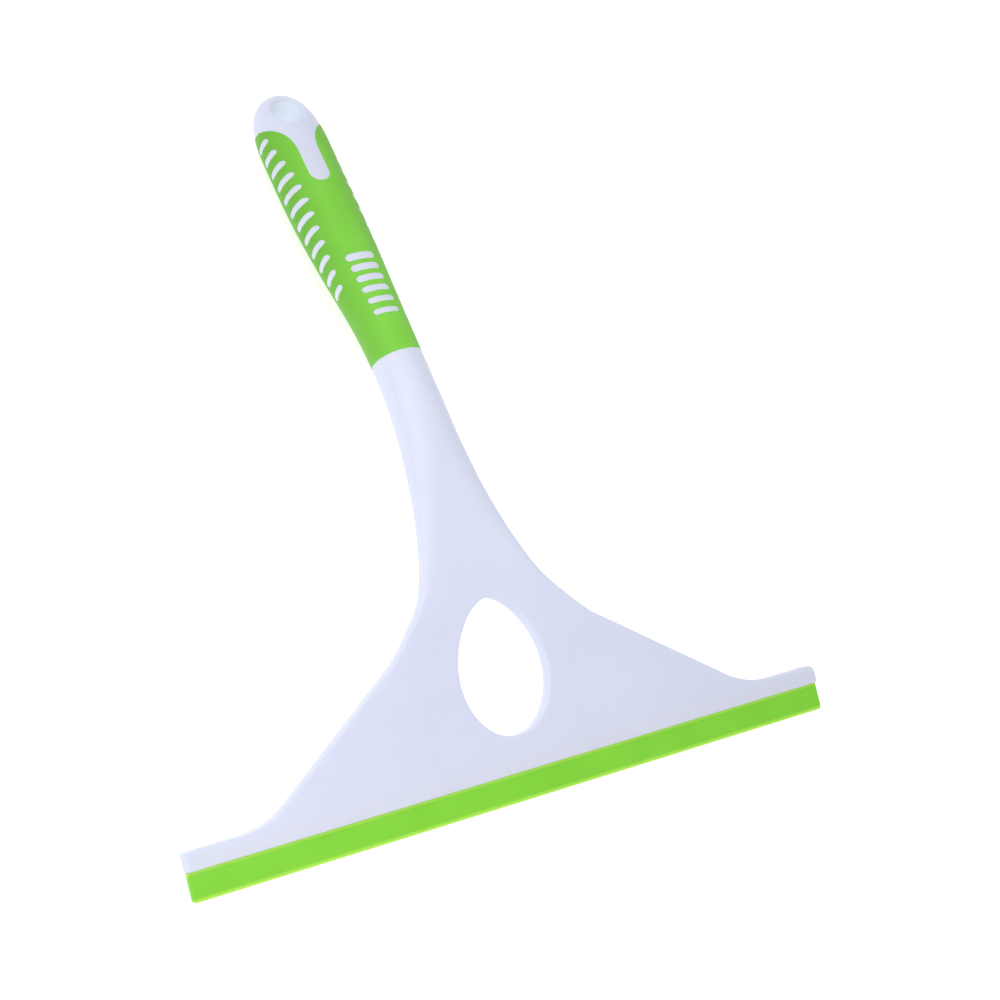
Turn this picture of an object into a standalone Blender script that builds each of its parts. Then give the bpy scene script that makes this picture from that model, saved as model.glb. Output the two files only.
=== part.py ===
"""Window cleaning squeegee, lying face up: its wiping edge and the end of its leaning handle rest on z = 0.

Everything is drawn in the head's own frame and then tilted onto the ground by one parent empty. In the
head's frame X runs along the blade, Y from the wiping edge towards the handle and Z out of the head's front
face. The handle follows a spine: distance s runs from the wiping edge, straight up the flat head and then
along the neck and grip, which lean back. Lengths are in metres.

    handle_body   white moulding: blade bar, flared head with the egg-shaped hole, neck, handle core, tip
    grip_sleeve   green soft grip moulded round the core, with windows that the core's ribs fill flush
    blade         green rubber strip, held by its T-shaped root in the bar and drawn out endwise at +X
"""

import math

import bmesh
import bpy
import numpy as np
from mathutils import Matrix, Vector

# Fits
FIT_GAP = 0.0003  # left between two pieces that touch
CUT_PAST = 0.002  # how far a cutter runs past the face that it opens

# Blade
BLADE_THICKNESS = 0.0018
BLADE_EXPOSED = 0.0108
BLADE_CORNER = 0.0012  # where its wiping edge meets its ends
BLADE_NECK_DEPTH = 0.0022  # how deep the slot's narrow part is
BLADE_ROOT_WIDTH = 0.0030
BLADE_ROOT_HEIGHT = 0.0014

# Head
HEAD_LENGTH = 0.279
HEAD_THICKNESS = 0.0052
HEAD_EDGE_RADIUS = 0.0009
BAR_HEIGHT = 0.0073
BAR_LEFT_CORNER = 0.0010
BAR_RIGHT_CORNER = 0.0030
CHANNEL_END_WALL = 0.0030
FLARE_FROM_END = 0.0331  # where the flare's slope, drawn on, meets the bar's top
FLARE_ANGLE = math.radians(35.0)
FLARE_ROOT_RADIUS = 0.036
FLARE_TOP_HALF_WIDTH = 0.0432

# Egg-shaped hole in the head
EGG_LENGTH = 0.0523
EGG_HALF_WIDTH = 0.0188
EGG_ABOVE_BAR = 0.0064
EGG_WIDEST_AT = 0.45  # share of its length
EGG_FOOT_PULL = 0.56  # how far the outline runs level at its foot, as a share of the half width
EGG_TOP_PULL = 0.40  # and at its top
EGG_LOWER_PULL = 0.55  # how far it runs upright at its widest, as a share of the length below it
EGG_UPPER_PULL = 0.52  # and above it

# Neck, grip and hanging end
NECK_LENGTH = 0.1120
HANDLE_LENGTH = 0.1275
END_WIDTH_TAPER = 0.027
END_THICKNESS_TAPER = 0.022
END_FLAT = 0.0006
END_BLUNTNESS = 2.3  # 2 would be an ellipse
HANGING_HOLE_RADIUS = 0.0068
HANGING_HOLE_BACK_RADIUS = 0.0052  # it narrows towards the back
HANGING_HOLE_FROM_END = 0.0116

# Share of the neck's length, lean (degrees), half width, half thickness (None: the head's), roundness
NECK_STATIONS = (
    (0.00, 0.0, FLARE_TOP_HALF_WIDTH, None, 0.00),
    (0.06, 0.0, 0.0366, None, 0.00),
    (0.17, 7.0, 0.0267, 0.0027, 0.08),
    (0.28, 11.5, 0.0213, 0.0032, 0.25),
    (0.40, 12.0, 0.0173, 0.0045, 0.50),
    (0.55, 11.5, 0.0140, 0.0063, 0.75),
    (0.75, 13.5, 0.0116, 0.0084, 0.95),
    (1.00, 19.7, 0.0104, 0.0097, 1.00),
)
# Share of the handle's length, and the same columns, before the end's rounding
GRIP_STATIONS = (
    (0.12, 23.3, 0.0109, 0.0095, 1.00),
    (0.25, 25.8, 0.0121, 0.0097, 1.00),
    (0.40, 25.3, 0.0136, 0.0101, 1.00),
    (0.60, 22.8, 0.0148, 0.0102, 1.00),
    (0.78, 21.0, 0.0149, 0.0100, 1.00),
    (1.00, 18.8, 0.0149, 0.0103, 1.00),
)

# Grip sleeve and its windows
SLEEVE_THICKNESS = 0.0016
SLEEVE_LENGTH = 0.1108
TONGUE_LENGTH = 0.0302
TONGUE_HALF_WIDTH = 0.0043
TONGUE_MOUTH_WIDTH = 0.0099  # how far each side of the mouth flares out, over the next length
TONGUE_MOUTH_LENGTH = 0.0176
THUMB_SLOTS = 6
THUMB_TOP = 0.0431  # the slot nearest the handle's end, from the sleeve's lower edge
THUMB_PITCH = 0.0051
THUMB_LENGTHS = (0.0112, 0.0126)
THUMB_WIDTHS = (0.0025, 0.0035)
SIDE_SLOTS = 12
SIDE_FIRST = 0.0357
SIDE_PITCH = 0.00647
SIDE_WIDTH = 0.0027
SIDE_REACHES = (0.0045, 0.0082)  # how far the row's ends and its middle reach in front of the handle's middle
SIDE_BACK_REACHES = (0.0024, 0.0004)  # how far the row's ends and its middle reach behind it
SIDE_SLANT = math.radians(19.0)
SIDE_SKEW = 1.2  # over 1, the longest slots come nearer the handle's end
SIDE_RIGHT_SHORTER = 0.0016  # how much less far the right side's slots reach forwards

WINDOW_FRONT_FLOOR = 0.25  # where a front window's cutter starts, as a share of the handle's half thickness
WINDOW_SIDE_FLOOR = 0.33  # and a side window's, of its half width

# Smoothness
ROUNDEST = 0.97  # a section keeps a short flat between its quarters
CORNER_STEPS = 6
WINDOW_STEPS = 5
EGG_STEPS = 9
HOLE_SEGMENTS = 28
SPINE_STEP = 0.0005
NECK_AND_GRIP_RINGS = 34
END_RINGS = 9
SLEEVE_RINGS = 20
MERGE_DISTANCE = 1e-6
SHARP_ANGLE = math.radians(35.0)

# Colours (linear) and roughnesses
WHITE, WHITE_ROUGHNESS = (0.80, 0.82, 0.88), 0.38
GRIP_GREEN, GRIP_ROUGHNESS = (0.27, 0.64, 0.06), 0.60
RUBBER_GREEN, RUBBER_ROUGHNESS = (0.27, 0.72, 0.05), 0.45

# Derived places on the spine
HALF_LENGTH = HEAD_LENGTH / 2
BAR_TOP = BLADE_EXPOSED + BAR_HEIGHT
FLARE_FOOT = HALF_LENGTH - FLARE_FROM_END
FLARE_TOP = BAR_TOP + (FLARE_FOOT - FLARE_TOP_HALF_WIDTH) * math.tan(FLARE_ANGLE)
GRIP_START = FLARE_TOP + NECK_LENGTH
GRIP_END = GRIP_START + SLEEVE_LENGTH
SPINE_END = GRIP_START + HANDLE_LENGTH
HALF_THICKNESS = HEAD_THICKNESS / 2


def clear_scene():
    for obj in list(bpy.data.objects):
        bpy.data.objects.remove(obj, do_unlink=True)


def new_collection(name):
    collection = bpy.data.collections.new(name)
    bpy.context.scene.collection.children.link(collection)
    return collection


def plastic(name, colour, roughness):
    material = bpy.data.materials.new(name)
    material.use_nodes = True
    shader = material.node_tree.nodes["Principled BSDF"]
    shader.inputs["Base Color"].default_value = (*colour, 1.0)
    shader.inputs["Roughness"].default_value = roughness
    shader.inputs["Metallic"].default_value = 0.0
    return material


def link_mesh(name, mesh, collection, material=None):
    obj = bpy.data.objects.new(name, mesh)
    collection.objects.link(obj)
    if material:
        mesh.materials.append(material)
    return obj


def mesh_of(name, shape):
    """A mesh from a bmesh, with its normals made to face out."""
    bmesh.ops.recalc_face_normals(shape, faces=shape.faces)
    mesh = bpy.data.meshes.new(name)
    shape.to_mesh(mesh)
    shape.free()
    return mesh


def boolean(target, cutter, operation="DIFFERENCE"):
    modifier = target.modifiers.new(f"{operation.lower()}_{cutter.name}", "BOOLEAN")
    modifier.operation = operation
    modifier.object = cutter


# The handle's profile


def station_table():
    """A row per station: distance on the spine, lean (radians), half width, half thickness, roundness."""
    rows = []
    for start, length, stations in (
        (FLARE_TOP, NECK_LENGTH, NECK_STATIONS),
        (GRIP_START, HANDLE_LENGTH, GRIP_STATIONS),
    ):
        for share, lean, half_width, half_thickness, roundness in stations:
            thick = HALF_THICKNESS if half_thickness is None else max(half_thickness, HALF_THICKNESS)
            rows.append((start + share * length, math.radians(lean), half_width, thick, roundness))
    return np.array(rows)


STATIONS = station_table()


def smooth_value(column, s):
    """The station table's column at s, by cubic pieces that never overshoot a station."""
    at, value = STATIONS[:, 0], STATIONS[:, column]
    if s <= at[0]:
        return value[0]
    if s >= at[-1]:
        return value[-1]
    slope = np.diff(value) / np.diff(at)
    product = slope[:-1] * slope[1:]
    total = np.where(product > 0, slope[:-1] + slope[1:], 1.0)
    inner = np.where(product > 0, 2 * product / total, 0.0)
    tangent = np.concatenate([[slope[0]], inner, [slope[-1]]])
    i = int(np.searchsorted(at, s)) - 1
    width = at[i + 1] - at[i]
    t = (s - at[i]) / width
    return (
        value[i] * (1 + 2 * t) * (1 - t) ** 2
        + value[i + 1] * t * t * (3 - 2 * t)
        + width * tangent[i] * t * (1 - t) ** 2
        - width * tangent[i + 1] * t * t * (1 - t)
    )


def end_rounding(s, taper):
    """1 along the handle, falling as a blunt quarter ellipse to 0 at the spine's end."""
    past = max(0.0, 1 - (SPINE_END - s) / taper)
    return max(0.0, 1 - past**END_BLUNTNESS) ** (1 / END_BLUNTNESS)


def half_width_at(s):
    """Straight flare below its top, then the stations."""
    if s < FLARE_TOP:
        return FLARE_TOP_HALF_WIDTH + (FLARE_TOP - s) / math.tan(FLARE_ANGLE)
    return smooth_value(2, s) * end_rounding(s, END_WIDTH_TAPER)


def half_thickness_at(s):
    return smooth_value(3, s) * end_rounding(s, END_THICKNESS_TAPER)


SPINE_S = np.arange(0.0, SPINE_END + 2 * SPINE_STEP, SPINE_STEP)
SPINE_LEAN = np.array([smooth_value(1, s) for s in SPINE_S])
SPINE_Y = np.concatenate([[0.0], np.cumsum(np.cos((SPINE_LEAN[1:] + SPINE_LEAN[:-1]) / 2) * SPINE_STEP)])
SPINE_Z = np.concatenate([[0.0], np.cumsum(-np.sin((SPINE_LEAN[1:] + SPINE_LEAN[:-1]) / 2) * SPINE_STEP)])


def on_spine(x, s, out):
    """The point x across and `out` in front of the spine at s."""
    lean = np.interp(s, SPINE_S, SPINE_LEAN)
    return Vector(
        (
            x,
            np.interp(s, SPINE_S, SPINE_Y) + out * math.sin(lean),
            np.interp(s, SPINE_S, SPINE_Z) + out * math.cos(lean),
        )
    )


def section(s, half_width=None, inset=0.0):
    """One ring of the handle: a rectangle whose corners grow from small arcs into a whole ellipse."""
    wide = (half_width_at(s) if half_width is None else half_width) - inset
    thick = half_thickness_at(s) - inset
    roundness = min(smooth_value(4, s), ROUNDEST)
    edge = min(HEAD_EDGE_RADIUS, thick)
    corner_x = edge + (wide - edge) * roundness
    corner_z = edge + (thick - edge) * roundness
    ring = []
    for quarter, (side, front) in enumerate(((1, 1), (-1, 1), (-1, -1), (1, -1))):
        for step in range(CORNER_STEPS + 1):
            turn = (quarter + step / CORNER_STEPS) * math.pi / 2
            x = side * (wide - corner_x) + corner_x * math.cos(turn)
            out = front * (thick - corner_z) + corner_z * math.sin(turn)
            ring.append(on_spine(x, s, out))
    return ring


def bridge_rings(shape, lower, upper):
    """Quads between two rings."""
    for i in range(len(lower)):
        j = (i + 1) % len(lower)
        shape.faces.new((lower[i], lower[j], upper[j], upper[i]))


def loft(name, sections, closed=False):
    """A body through the sections: its two ends capped or, when closed, its last joined to its first."""
    shape = bmesh.new()
    rings = [[shape.verts.new(point) for point in points] for points in sections]
    for lower, upper in zip(rings, rings[1:]):
        bridge_rings(shape, lower, upper)
    if closed:
        bridge_rings(shape, rings[-1], rings[0])
    else:
        shape.faces.new(rings[0])
        shape.faces.new(rings[-1])
    return mesh_of(name, shape)


# Head


def flare_sections():
    """Rings of the flat head: inside the bar, round the flare's root and up its straight slope."""
    tangent = FLARE_ROOT_RADIUS * math.tan(FLARE_ANGLE / 2)
    root = FLARE_FOOT + tangent
    rings = [section(BAR_TOP - BAR_HEIGHT / 2, half_width=root)]
    for step in range(CORNER_STEPS + 1):
        turn = FLARE_ANGLE * step / CORNER_STEPS
        s = BAR_TOP + FLARE_ROOT_RADIUS * (1 - math.cos(turn))
        rings.append(section(s, half_width=root - FLARE_ROOT_RADIUS * math.sin(turn)))
    return rings


def handle_distances():
    """Where the rings of the neck and handle stand, closer together at the rounded end."""
    taper_start = SPINE_END - END_WIDTH_TAPER
    straight = np.linspace(FLARE_TOP, taper_start, NECK_AND_GRIP_RINGS)
    turns = np.linspace(0, math.pi / 2, END_RINGS + 1)[1:]
    rounded = taper_start + (END_WIDTH_TAPER - END_FLAT) * np.sin(turns)
    return [*straight, *rounded]


def bar_outline():
    """The bar seen from the front: square at its foot, with a larger corner at the channel's open end."""
    points = [(-HALF_LENGTH, BLADE_EXPOSED), (HALF_LENGTH, BLADE_EXPOSED)]
    for side, radius, first in ((1, BAR_RIGHT_CORNER, 0.0), (-1, BAR_LEFT_CORNER, math.pi / 2)):
        for step in range(CORNER_STEPS + 1):
            turn = first + step / CORNER_STEPS * math.pi / 2
            x = side * (HALF_LENGTH - radius) + radius * math.cos(turn)
            points.append((x, BAR_TOP - radius + radius * math.sin(turn)))
    return points


def lip_outline():
    """The rubber's lip seen from the front, with its two lower corners rounded."""
    top = BLADE_EXPOSED - FIT_GAP
    points = [(HALF_LENGTH, top), (-HALF_LENGTH, top)]
    for side, first in ((-1, math.pi), (1, 1.5 * math.pi)):
        for step in range(CORNER_STEPS + 1):
            turn = first + step / CORNER_STEPS * math.pi / 2
            x = side * (HALF_LENGTH - BLADE_CORNER) + BLADE_CORNER * math.cos(turn)
            points.append((x, BLADE_CORNER + BLADE_CORNER * math.sin(turn)))
    return points


def plate(name, outline, thickness):
    """A flat outline given thickness, as a 2D curve made into a mesh."""
    curve = bpy.data.curves.new(name, "CURVE")
    curve.dimensions = "2D"
    curve.fill_mode = "BOTH"
    curve.extrude = thickness / 2
    spline = curve.splines.new("POLY")
    spline.points.add(len(outline) - 1)
    for point, (x, y) in zip(spline.points, outline):
        point.co = (x, y, 0.0, 1.0)
    spline.use_cyclic_u = True
    return curve_to_mesh(name, curve)


def curve_to_mesh(name, curve):
    drawn = bpy.data.objects.new(name, curve)
    bpy.context.scene.collection.objects.link(drawn)
    graph = bpy.context.evaluated_depsgraph_get()
    mesh = bpy.data.meshes.new_from_object(drawn.evaluated_get(graph))
    bpy.data.objects.remove(drawn)
    shape = bmesh.new()
    shape.from_mesh(mesh)
    bmesh.ops.remove_doubles(shape, verts=shape.verts, dist=MERGE_DISTANCE)
    bpy.data.meshes.remove(mesh)
    return mesh_of(name, shape)


def egg_cutter():
    """Four Bezier points: round at the foot and narrower towards the handle."""
    curve = bpy.data.curves.new("egg_hole", "CURVE")
    curve.dimensions = "2D"
    curve.fill_mode = "BOTH"
    curve.extrude = HALF_THICKNESS + CUT_PAST
    curve.resolution_u = EGG_STEPS
    foot = BAR_TOP + EGG_ABOVE_BAR
    widest = foot + EGG_WIDEST_AT * EGG_LENGTH
    top = foot + EGG_LENGTH
    round_pull, narrow_pull = EGG_FOOT_PULL * EGG_HALF_WIDTH, EGG_TOP_PULL * EGG_HALF_WIDTH
    down_pull, up_pull = EGG_LOWER_PULL * (widest - foot), EGG_UPPER_PULL * (top - widest)
    spline = curve.splines.new("BEZIER")
    spline.bezier_points.add(3)
    right, left = EGG_HALF_WIDTH, -EGG_HALF_WIDTH
    places = (
        ((0.0, foot), (-round_pull, foot), (round_pull, foot)),
        ((right, widest), (right, widest - down_pull), (right, widest + up_pull)),
        ((0.0, top), (narrow_pull, top), (-narrow_pull, top)),
        ((left, widest), (left, widest + up_pull), (left, widest - down_pull)),
    )
    for point, (place, before, after) in zip(spline.bezier_points, places):
        point.co = (*place, 0.0)
        point.handle_left = (*before, 0.0)
        point.handle_right = (*after, 0.0)
    spline.use_cyclic_u = True
    return curve_to_mesh("egg_hole", curve)


def box(name, low, high):
    shape = bmesh.new()
    bmesh.ops.create_cube(shape, size=1.0)
    low, high = Vector(low), Vector(high)
    for vertex in shape.verts:
        vertex.co = (low + high) / 2 + vertex.co * (high - low)
    return mesh_of(name, shape)


def t_section_boxes(clearance, past_end, past_foot):
    """The T-shaped root and its stem: the blade's own with no clearance, the channel's with FIT_GAP."""
    start = -HALF_LENGTH + CHANNEL_END_WALL + FIT_GAP - clearance
    end = HALF_LENGTH + past_end
    stem, root = BLADE_THICKNESS / 2 + clearance, BLADE_ROOT_WIDTH / 2 + clearance
    root_foot = BLADE_EXPOSED + BLADE_NECK_DEPTH - clearance
    root_top = BLADE_EXPOSED + BLADE_NECK_DEPTH + BLADE_ROOT_HEIGHT + clearance
    overlap = BLADE_ROOT_HEIGHT / 2
    return (
        ((start, BLADE_EXPOSED - past_foot, -stem), (end, root_foot + overlap, stem)),
        ((start, root_foot, -root), (end, root_top, root)),
    )


def hanging_hole_cutter():
    """A cone through the handle, of the two radii where it meets the front and the back."""
    s = SPINE_END - HANGING_HOLE_FROM_END
    thickness = 2 * half_thickness_at(s)
    depth = thickness + 2 * CUT_PAST + END_THICKNESS_TAPER / 2
    middle = (HANGING_HOLE_RADIUS + HANGING_HOLE_BACK_RADIUS) / 2
    widening = (HANGING_HOLE_RADIUS - HANGING_HOLE_BACK_RADIUS) / 2 * depth / thickness
    lean = float(np.interp(s, SPINE_S, SPINE_LEAN))
    shape = bmesh.new()
    bmesh.ops.create_cone(
        shape,
        cap_ends=True,
        segments=HOLE_SEGMENTS,
        radius1=middle - widening,
        radius2=middle + widening,
        depth=depth,
        matrix=Matrix.Translation(on_spine(0.0, s, 0.0)) @ Matrix.Rotation(-lean, 4, "X"),
    )
    return mesh_of("hanging_hole", shape)


# Grip windows


def capsule(centre, length, width, angle):
    """A slot with round ends, in the plane of (along the spine, across it)."""
    reach = max(length - width, 0.0) / 2
    points = []
    for end in (1, -1):
        for step in range(WINDOW_STEPS + 1):
            turn = math.pi * (step / WINDOW_STEPS - 0.5) + (0 if end > 0 else math.pi)
            across = end * reach + width / 2 * math.cos(turn)
            along = width / 2 * math.sin(turn)
            points.append(
                (
                    centre[0] + along * math.cos(angle) - across * math.sin(angle),
                    centre[1] + along * math.sin(angle) + across * math.cos(angle),
                )
            )
    return points


def thumb_outlines(shrink):
    """Slots (distance, across) on the front, each a little shorter and narrower towards the neck."""
    outlines = []
    for i in range(THUMB_SLOTS):
        share = i / (THUMB_SLOTS - 1)
        length = THUMB_LENGTHS[0] + (THUMB_LENGTHS[1] - THUMB_LENGTHS[0]) * share
        width = THUMB_WIDTHS[0] + (THUMB_WIDTHS[1] - THUMB_WIDTHS[0]) * share
        s = GRIP_START + THUMB_TOP - (THUMB_SLOTS - 1 - i) * THUMB_PITCH
        outlines.append(capsule((s, 0.0), length - 2 * shrink, width - 2 * shrink, 0.0))
    return outlines


def side_outlines(shrink, shorter):
    """Slanted slots (distance, out) on one side, longest near the middle of the row."""
    outlines = []
    for i in range(SIDE_SLOTS):
        bulge = math.sin(math.pi * ((i + 0.5) / SIDE_SLOTS) ** SIDE_SKEW)
        front = SIDE_REACHES[0] + (SIDE_REACHES[1] - SIDE_REACHES[0]) * bulge - shorter
        back = SIDE_BACK_REACHES[0] + (SIDE_BACK_REACHES[1] - SIDE_BACK_REACHES[0]) * bulge
        middle = (front - back) / 2
        length = (front + back) / math.cos(SIDE_SLANT)
        s = GRIP_START + SIDE_FIRST + i * SIDE_PITCH + (middle - SIDE_REACHES[1]) * math.tan(SIDE_SLANT)
        outlines.append(capsule((s, middle), length - 2 * shrink, SIDE_WIDTH - 2 * shrink, -SIDE_SLANT))
    return outlines


def tongue_outline(shrink):
    """The white tongue (distance, across): round foot, parallel sides, mouth flaring past the sleeve."""
    half = TONGUE_HALF_WIDTH - shrink
    mouth_width, mouth_length = TONGUE_MOUTH_WIDTH + shrink, TONGUE_MOUTH_LENGTH
    foot = GRIP_END - TONGUE_LENGTH + TONGUE_HALF_WIDTH
    side = []
    for step in range(WINDOW_STEPS + 1):
        turn = step / WINDOW_STEPS * math.pi / 2
        side.append((foot - half * math.cos(turn), half * math.sin(turn)))
    mouth_start = GRIP_END + shrink - mouth_length
    for step in range(WINDOW_STEPS + 1):
        share = step / WINDOW_STEPS
        side.append((mouth_start + mouth_length * share ** (1 / 3), half + mouth_width * share))
    side.append((GRIP_END + CUT_PAST, half + 2 * mouth_width))
    return side + [(s, -across) for s, across in reversed(side[1:])]


def window_prism(shape, outline, place, near, far):
    """One closed prism from `near` to `far` over the outline, added to the bmesh."""
    lower = [shape.verts.new(place(a, b, near)) for a, b in outline]
    upper = [shape.verts.new(place(a, b, far)) for a, b in outline]
    bridge_rings(shape, lower, upper)
    shape.faces.new(lower)
    shape.faces.new(upper)


def windows(name, shrink):
    """All the grip's windows as one cutter, each smaller all round by `shrink`."""
    shape = bmesh.new()
    thickest = max(STATIONS[:, 3]) + CUT_PAST
    widest = max(row[2] for row in GRIP_STATIONS) + CUT_PAST
    front_floor, side_floor = WINDOW_FRONT_FLOOR * thickest, WINDOW_SIDE_FLOOR * widest
    for outline in (*thumb_outlines(shrink), tongue_outline(shrink)):
        window_prism(shape, outline, lambda s, x, out: on_spine(x, s, out), front_floor, thickest)
    for side, shorter in ((1, SIDE_RIGHT_SHORTER), (-1, 0.0)):
        for outline in side_outlines(shrink, shorter):
            window_prism(shape, outline, lambda s, out, x: on_spine(side * x, s, out), side_floor, widest)
    return mesh_of(name, shape)


def sleeve_distances(start=GRIP_START, end=GRIP_END):
    return np.linspace(start, end, SLEEVE_RINGS)


def tube(name, start, end, outer_inset, inner_inset):
    """A sleeve between two insets of the handle's surface."""
    distances = sleeve_distances(start, end)
    outside = [section(s, inset=outer_inset) for s in distances]
    inside = [section(s, inset=inner_inset) for s in reversed(distances)]
    return loft(name, outside + inside, closed=True)


# Pieces


def make_cutters(collection):
    channel_stem, channel_root = t_section_boxes(FIT_GAP, CUT_PAST, CUT_PAST)
    blade_stem, blade_root = t_section_boxes(0.0, 0.0, BLADE_EXPOSED / 2)
    space_depth = SLEEVE_THICKNESS + FIT_GAP
    space = tube("grip_space", GRIP_START - FIT_GAP, GRIP_END + FIT_GAP, -CUT_PAST, space_depth)
    meshes = {
        "bar": plate("bar", bar_outline(), HEAD_THICKNESS),
        "egg_hole": egg_cutter(),
        "channel_stem": box("channel_stem", *channel_stem),
        "channel_root": box("channel_root", *channel_root),
        "hanging_hole": hanging_hole_cutter(),
        "grip_space": space,
        "windows": windows("windows", 0.0),
        "ribs": windows("ribs", FIT_GAP),
        "blade_stem": box("blade_stem", *blade_stem),
        "blade_root": box("blade_root", *blade_root),
    }
    cutters = {}
    for name, mesh in meshes.items():
        cutters[name] = link_mesh(name, mesh, collection)
        cutters[name].hide_render = True
        cutters[name].display_type = "WIRE"
    boolean(cutters["grip_space"], cutters["ribs"])
    return cutters


def make_handle_body(cutters, collection):
    rings = flare_sections() + [section(s) for s in handle_distances()]
    white = plastic("white_plastic", WHITE, WHITE_ROUGHNESS)
    body = link_mesh("handle_body", loft("handle_body", rings), collection, white)
    boolean(body, cutters["bar"], "UNION")
    for name in ("egg_hole", "channel_stem", "channel_root", "hanging_hole", "grip_space"):
        boolean(body, cutters[name])
    return body


def make_grip_sleeve(cutters, collection):
    green = plastic("green_grip", GRIP_GREEN, GRIP_ROUGHNESS)
    mesh = tube("grip_sleeve", GRIP_START, GRIP_END, 0.0, SLEEVE_THICKNESS)
    sleeve = link_mesh("grip_sleeve", mesh, collection, green)
    boolean(sleeve, cutters["windows"])
    return sleeve


def make_blade(cutters, collection):
    """The lip runs the full length and the T-shaped root stops at the channel's closed end."""
    green = plastic("green_rubber", RUBBER_GREEN, RUBBER_ROUGHNESS)
    blade = link_mesh("blade", plate("blade", lip_outline(), BLADE_THICKNESS), collection, green)
    boolean(blade, cutters["blade_stem"], "UNION")
    boolean(blade, cutters["blade_root"], "UNION")
    return blade


def shade(obj):
    obj.data.shade_smooth()
    obj.data.set_sharp_from_angle(angle=SHARP_ANGLE)


def stand_on_ground(pieces, cutters):
    """Tilts the whole squeegee about X until the blade's back edge and the handle's underside touch z = 0."""
    edge = Vector((0.0, 0.0, -BLADE_THICKNESS / 2))
    underside = [point for s in (*handle_distances(), *sleeve_distances()) for point in section(s)]
    tilt = max(math.atan2(edge.z - point.z, point.y) for point in underside)
    turn = Matrix.Rotation(tilt, 4, "X")
    rear = min((turn @ Vector((0.0, 0.0, z))).y for z in (edge.z, -edge.z))
    front = max((turn @ point).y for point in underside)
    frame = bpy.data.objects.new("head_frame", None)
    pieces[0].users_collection[0].objects.link(frame)
    frame.rotation_euler = (tilt, 0.0, 0.0)
    frame.location = (0.0, -(rear + front) / 2, -(turn @ edge).z)
    for obj in (*pieces, *cutters.values()):
        obj.parent = frame


def main():
    clear_scene()
    parts = new_collection("window_squeegee")
    cutters = make_cutters(new_collection("cutters"))
    pieces = [make_handle_body(cutters, parts), make_grip_sleeve(cutters, parts), make_blade(cutters, parts)]
    for piece in pieces:
        shade(piece)
    stand_on_ground(pieces, cutters)


main()
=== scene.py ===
"""Looks of the window squeegee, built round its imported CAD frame.

Pieces are modelled in the head's own frame (X along the blade, Y from the wiping edge to the handle, Z out of
the front face) and then tilted onto the ground as the CAD model is. Lengths are in metres.
"""

import math

import bmesh
import bpy
import numpy as np
from mathutils import Euler, Matrix, Vector


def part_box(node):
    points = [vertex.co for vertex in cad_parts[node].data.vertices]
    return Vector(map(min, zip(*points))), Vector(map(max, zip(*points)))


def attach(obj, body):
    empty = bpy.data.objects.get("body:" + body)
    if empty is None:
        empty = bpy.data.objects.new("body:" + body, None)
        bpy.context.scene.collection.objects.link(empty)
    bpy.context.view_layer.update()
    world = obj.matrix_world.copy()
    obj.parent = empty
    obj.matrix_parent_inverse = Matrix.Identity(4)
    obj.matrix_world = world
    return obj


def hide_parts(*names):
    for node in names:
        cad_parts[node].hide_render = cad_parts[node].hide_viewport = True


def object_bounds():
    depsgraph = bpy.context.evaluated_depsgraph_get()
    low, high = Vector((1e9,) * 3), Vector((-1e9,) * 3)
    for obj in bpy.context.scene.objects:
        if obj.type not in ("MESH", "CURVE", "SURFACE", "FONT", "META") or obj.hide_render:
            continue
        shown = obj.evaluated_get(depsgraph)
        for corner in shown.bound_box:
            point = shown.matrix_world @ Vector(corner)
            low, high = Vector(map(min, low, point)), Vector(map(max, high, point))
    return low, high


# The object's own sizes, as in the CAD model
BLADE_THICKNESS = 0.0018
BLADE_EXPOSED = 0.0108
BLADE_NECK_DEPTH = 0.0022
BLADE_ROOT_WIDTH = 0.0030
BLADE_ROOT_HEIGHT = 0.0014
HEAD_LENGTH = 0.279
HEAD_THICKNESS = 0.0052
BAR_HEIGHT = 0.0073
BAR_LEFT_CORNER = 0.0010
BAR_RIGHT_CORNER = 0.0030
CHANNEL_END_WALL = 0.0030
END_GAP = 0.0003  # between the end wall and the strip's root
FLARE_FROM_END = 0.0331
FLARE_ANGLE = math.radians(35.0)
FLARE_ROOT_RADIUS = 0.036
FLARE_TOP_HALF_WIDTH = 0.0432
EGG_LENGTH = 0.0523
EGG_HALF_WIDTH = 0.0188
EGG_ABOVE_BAR = 0.0064
EGG_WIDEST_AT = 0.45
EGG_PULLS = (0.56, 0.40, 0.55, 0.52)  # level at the foot and top, upright below and above the widest place
NECK_LENGTH = 0.1120
HANDLE_LENGTH = 0.1275
END_WIDTH_TAPER = 0.027
END_THICKNESS_TAPER = 0.022
END_FLAT = 0.0006
END_BLUNTNESS = 2.3
HANGING_HOLE_RADIUS = 0.0068
HANGING_HOLE_BACK_RADIUS = 0.0052
HANGING_HOLE_FROM_END = 0.0116
NECK_STATIONS = (
    (0.00, 0.0, FLARE_TOP_HALF_WIDTH, None, 0.00),
    (0.06, 0.0, 0.0366, None, 0.00),
    (0.17, 7.0, 0.0267, 0.0027, 0.08),
    (0.28, 11.5, 0.0213, 0.0032, 0.25),
    (0.40, 12.0, 0.0173, 0.0045, 0.50),
    (0.55, 11.5, 0.0140, 0.0063, 0.75),
    (0.75, 13.5, 0.0116, 0.0084, 0.95),
    (1.00, 19.7, 0.0104, 0.0097, 1.00),
)
GRIP_STATIONS = (
    (0.12, 23.3, 0.0109, 0.0095, 1.00),
    (0.25, 25.8, 0.0121, 0.0097, 1.00),
    (0.40, 25.3, 0.0136, 0.0101, 1.00),
    (0.60, 22.8, 0.0148, 0.0102, 1.00),
    (0.78, 21.0, 0.0149, 0.0100, 1.00),
    (1.00, 18.8, 0.0149, 0.0103, 1.00),
)
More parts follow.
